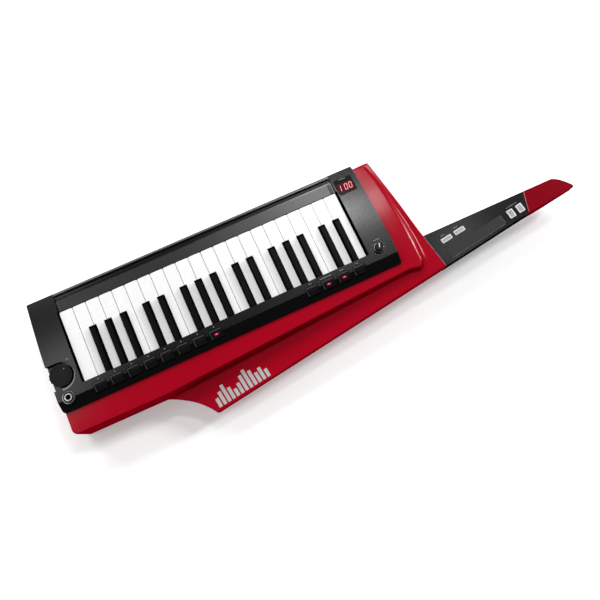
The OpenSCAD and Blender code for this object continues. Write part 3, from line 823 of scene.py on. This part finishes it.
def add_lamps(mats):
    """Lamps of the two button rows, and painted highlights along each button's top and left edges. lit
    gives the numbers of the lamps that are on.
    """
    lens = lambda x, w, d: turned(rounded_outline(w, d, d / 2 - 0.05), 0, x, LAMP_Y)
    up = lambda x, y: button_top(x, y) + 0.12
    for node, n, lit in (("program_buttons", 8, (7,)), ("function_buttons", 4, (1, 2))):
        xs = button_centres(node, n)
        on = [lens(xs[i], 4.0, 1.3) for i in lit]
        halo = [lens(xs[i], 8.4, 3.8) for i in lit]
        off = [lens(xs[i], 5.0, 1.6) for i in range(n) if i not in lit]
        plates(node + "_lamps_lit", on, lambda x, y: up(x, y) + 0.06, 0.6, mats["led_red"],
               body=node, edge=0.1)
        plates(node + "_halo", halo, lambda x, y: up(x, y) - 0.08, 0.4, mats["lens_glow"], body=node)
        plates(node + "_lamps", off, up, 0.6, mats["lens_dark"], body=node, edge=0.1)
        # Painted highlights: thin grey strips along each button's top edge and down its left edge
        button_edge_highlights = []
        for x in xs:
            button_edge_highlights.append(turned(rounded_outline(16.6, 0.5, 0.15, 2), 0, x, BUTTON_REAR - 0.95))
            for i in range(4):
                y = BUTTON_REAR - 2.5 - i * 2.9
                button_edge_highlights.append(turned(rounded_outline(0.5, 2.6, 0.15, 2), 0, x - 8.4, y))
        plates(node + "_rims", button_edge_highlights, lambda x, y: button_top(x, y) + 0.05, 0.3, mats["edge_highlight_grey"],
               body=node)


# ---------------------------------------------------------------- printing on the panel
def ring_piece(cx, cy, r0, r1_start, r1_end, a0, a1, n=5):
    inner = arc(cx, cy, r0, a0, a1, n)
    angles = np.radians(np.linspace(a1, a0, n + 1))
    grow = np.linspace(r1_end, r1_start, n + 1)
    outer = [(cx + r * math.cos(a), cy + r * math.sin(a)) for a, r in zip(angles, grow)]
    return outer[::-1] + inner[::-1]


def add_panel_print(mats):
    marks = []
    for x in button_centres("program_buttons", 8):
        marks.append(turned(rounded_outline(1.5, 1.5, 0.7), 0, x, -115.2))
    fx = button_centres("function_buttons", 4)
    for x, w in zip(fx, (6.0, 19.5, 6.5, 5.0)):
        count = max(2, round(w / 3.2))
        step = w / count
        dash = rounded_outline(step - 0.7, 0.75, 0.3)
        for i in range(count):
            marks.append(turned(dash, 0, x - w / 2 + (i + 0.5) * step, -115.4))
    # Volume dial: start dot and a scale that widens with the level
    cx, cy, _ = top_centre("volume_dial")
    marks.append(turned(rounded_outline(1.3, 1.3, 0.6), 0, cx + 17.4, cy + 18.1))
    marks.append(turned(rounded_outline(2.6, 0.8, 0.3), 62, cx + 15.4, cy + 18.6))
    steps = 13
    for i in range(steps):
        a = 6 - i * 8.3
        w0, w1 = 0.25 + 2.2 * i / steps, 0.25 + 2.2 * (i + 1) / steps
        marks.append(ring_piece(cx, cy, 19.9, 19.9 + w1, 19.9 + w0, a - 6.4, a, 3))
    # Level knob: label dashes and scale ticks
    cx, cy, _ = top_centre("level_knob")
    for i in range(4):
        marks.append(turned(rounded_outline(1.9, 0.8, 0.3), 0, cx - 1.3 + i * 2.5, cy + 13.2))
    for degrees in range(-225, 46, 27):
        a, r = math.radians(degrees), 10.6
        tick = rounded_outline(1.3, 0.5, 0.2)
        marks.append(turned(tick, degrees, cx + r * math.cos(a), cy + r * math.sin(a)))
    plates("panel_marks", marks, lambda x, y: block_top(x, y) + 0.03, 0.2, mats["grey_ink"])


def lathe_into(bm, cx, cy, profile, n=64):
    """Turns a closed profile of (radius, height) pairs round the vertical at cx, cy."""
    turns = [(math.cos(2 * math.pi * k / n), math.sin(2 * math.pi * k / n)) for k in range(n)]
    rings = [[bm.verts.new(at(cx + r * c, cy + r * s, z)) for c, s in turns] for r, z in profile]
    for a, b in zip(rings, rings[1:] + rings[:1]):
        for k in range(n):
            bm.faces.new((a[k], a[(k + 1) % n], b[(k + 1) % n], b[k]))
    bmesh.ops.recalc_face_normals(bm, faces=bm.faces)


def add_dial_details(mats):
    """The dial's dot, and the level knob's pointer and ring."""
    cx, cy, top = top_centre("volume_dial")
    a, r = math.radians(45), 10.4
    dot = turned(rounded_outline(1.5, 1.5, 0.7, 6), 0, cx + r * math.cos(a), cy + r * math.sin(a))
    plates("dial_dot", [dot], lambda x, y: top - 0.07, 0.3, mats["grey_ink"], body="volume_dial")

    cx, cy, top = top_centre("level_knob")
    pointer = turned(rounded_outline(1.3, 6.6, 0.5), -18, cx + 0.8, cy + 1.6)
    plates("knob_pointer", [pointer], lambda x, y: top + 0.01, 0.4, mats["silver_button"],
           body="level_knob", edge=0.05)
    bm = bmesh.new()
    lathe_into(bm, cx, cy, ((6.95, top - 5.9), (7.25, top - 5.65), (7.35, top - 5.2),
                            (7.0, top - 4.9), (6.6, top - 4.9), (6.6, top - 5.9)))
    mesh = bpy.data.meshes.new("knob_ring")
    bm.to_mesh(mesh)
    bm.free()
    new_object("knob_ring", mesh, mats["screw_metal"], "level_knob")


def add_rail_strips(mats):
    """Plain end strips of the touch strip's channel."""
    lo, hi = layout_box("long_ribbon")
    y = (lo.y + hi.y) / 2
    end = rounded_outline(4.6, hi.y - lo.y + 0.3, 0.8)
    ends = [turned(end, 0, x, y) for x in (lo.x - 2.7, hi.x + 2.7)]
    plates("ribbon_ends", ends, lambda x, yy: hi.z + 0.35, 1.1, mats["strip_grey"], edge=0.3)


JACK = (-26.1, -123.1)
SOCKET_Z = -33
SOCKET_BORES = ((-6, 3.3), (-22, 1.85), (-95, 2.95), (-40, 5.9), (-62, 5.9))


def socket_finish(c, jack_top):
    """Which finish a face of the sockets has, from the layout place of its centre."""
    metal, bright, black = range(3)
    if c.z > -13:
        r = math.dist((c.x, c.y), JACK)
        return black if r < 3.3 or (5.85 < r < 7.05 and c.z < jack_top - 1.5) else bright
    panel_face = DECK_L + 1
    height = c.z - SOCKET_Z
    in_bore = any(math.hypot(c.y - y, height) < r for y, r in SOCKET_BORES)
    in_usb = abs(c.y + 80) < 2.9 and abs(height) < 1.7
    if in_bore or in_usb or c.x > panel_face + 1.6:
        return black
    return bright if c.x < panel_face - 0.02 else metal


def add_sockets(mats):
    """The sockets again, with plates, plastic bodies and bores in their own finishes."""
    mesh = frame["nodes"]["sockets"].data.copy()
    mesh.materials.clear()
    for key in ("socket_metal", "bright_metal", "socket_black"):
        mesh.materials.append(mats[key])
    jack_top = layout_box("sockets")[1].z
    for polygon in mesh.polygons:
        polygon.material_index = socket_finish(layout(polygon.center), jack_top)
    obj = bpy.data.objects.new("sockets_finished", mesh)
    bpy.context.scene.collection.objects.link(obj)
    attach(obj, BODY)
    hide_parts("sockets")
    soften(obj, 0.15)


# ---------------------------------------------------------------- neck details
def along_neck(outline, dx, dy, x, y):
    """An outline moved by dx, dy in the neck's own directions from the point x, y."""
    return turned([(px + dx, py + dy) for px, py in outline], NECK_ANGLE, x, y)


def add_button_ribs(node, w, d, mats):
    """Fine ribs across a silver button's pad, with the plain border left round them."""
    x, y, z = top_centre(node)
    pitch = 1.25
    count = round((w - 2.8) / pitch)
    rib = rounded_outline(0.8, d - 2.4, 0.25, 2)
    ribs = [along_neck(rib, (i - (count - 1) / 2) * pitch, 0, x, y) for i in range(count)]
    plates(node + "_ribs", ribs, lambda px, py: z + 0.13, 0.5, mats["rib_silver"], body=node)


def add_neck_print(mats):
    """Plain dashes in place of the small labels by the neck's buttons."""
    marks = []
    for node, w in (("mode_button_a", 7.5), ("mode_button_b", 8.0)):
        x, y, _ = top_centre(node)
        dash = rounded_outline(w / 3 - 0.7, 0.8, 0.3, 2)
        marks += [along_neck(dash, -w / 3 + i * w / 3 - 2.0, 8.2, x, y) for i in range(3)]
    x0, y0, _ = top_centre("octave_button_down")
    x1, y1, _ = top_centre("octave_button_up")
    x, y, up = (x0 + x1) / 2, (y0 + y1) / 2, 11.0
    for off, w in ((-8.6, 1.6), (-4.4, 2.3), (-1.5, 2.6), (1.6, 2.4), (4.5, 2.2), (8.6, 1.8)):
        marks.append(along_neck(rounded_outline(w, 0.85, 0.3, 2), off, up, x, y))
    marks.append(along_neck(rounded_outline(0.85, 1.8, 0.3, 2), 8.6, up, x, y))
    plates("neck_marks", marks, lambda x, y: NECK_Z + 0.03, 0.2, mats["grey_ink"])


def strip_between(p, q, w):
    """Narrow outline along the line from p to q."""
    dx, dy = q[0] - p[0], q[1] - p[1]
    length = math.hypot(dx, dy)
    ox, oy = -dy / length * w / 2, dx / length * w / 2
    return [(p[0] + ox, p[1] + oy), (p[0] - ox, p[1] - oy),
            (q[0] - ox, q[1] - oy), (q[0] + ox, q[1] + oy)]


def add_painted_highlights(mats):
    """Painted highlights: thin light strips along the joints and round the lower edges of the short
    touch strip, where the edges catch the light.
    """
    above_joint = lambda x, y: NECK_Z + 0.04
    front = (JOINT_FRONT[0] - 0.1, JOINT_FRONT[1] - 1.5)
    rear = (JOINT_REAR[0] - 0.1, JOINT_REAR[1] + 1.5)
    neck = [strip_between(front, rear, 0.45)]
    plates("neck_joint_highlight", neck, above_joint, 1.4, mats["highlight_silver"])
    front, middle, rear = (719.4, -115.8), (714.9, -131.6), (711.0, -148.2)
    head = [strip_between(front, middle, 0.7), strip_between(middle, rear, 0.45)]
    plates("head_joint_highlight", head, above_joint, 1.4, mats["highlight_pink"])
    x, y, _ = top_centre("short_ribbon")
    w, d = 101.8, 16.0
    # Painted highlights along the short touch strip's lower edge and right end
    ribbon_edge_highlights = [along_neck(rounded_outline(w - 1, 0.55, 0.2, 2), 0, -d / 2 - 0.1, x, y),
           along_neck(rounded_outline(0.55, d - 1.2, 0.2, 2), w / 2 + 0.1, 0, x, y)]
    plates("short_ribbon_edge_highlight", ribbon_edge_highlights, lambda px, py: NECK_Z + 0.5, 0.9, mats["highlight_silver"], edge=0.1)


def add_badge(mats):
    """Plain silver level bars on the wing."""
    heights = (14, 21, 28, 19, 12, 17, 25, 30, 24, 16, 20, 13)
    angle, pitch = NECK_ANGLE - 0.2, 7.5
    x0, y0 = WING_CORNER[0] + 8, WING_CORNER[1] + 5.5
    bars = []
    for i, h in enumerate(heights):
        local = rounded_outline(5.2, h, 0.8, 3)
        bars.append(turned([(px + i * pitch, py + h / 2) for px, py in local], angle, x0, y0))
    top = lambda x, y: float(along_wing(x, WING_Z, NECK_Z)) + 0.12
    plates("wing_bars", bars, top, 0.4, mats["silver_ink"], edge=0.05)


# ---------------------------------------------------------------- run
add_camera()
add_stage()
add_lights()
MATS = make_materials()
SLOT_OF = {row["node"]: row["material_slot"] for row in frame["record"]["subparts"]}
for name in frame["nodes"]:
    paint(name, MATS[SLOT_OF[name]])
# The head cap takes the darker copy of the red lacquer, painted shade for its place in less light
paint("head_cap", MATS["red_lacquer_shaded"])
add_red_body(MATS)
soften_all()
add_display(MATS)
add_lamps(MATS)
add_panel_print(MATS)
add_dial_details(MATS)
add_rail_strips(MATS)
add_sockets(MATS)
for name, width, depth in (("mode_button_a", 17.8, 7.1), ("mode_button_b", 17.8, 7.1),
                           ("octave_button_down", 10.3, 13.4), ("octave_button_up", 10.3, 13.4)):
    add_button_ribs(name, width, depth, MATS)
add_neck_print(MATS)
add_painted_highlights(MATS)
add_badge(MATS)
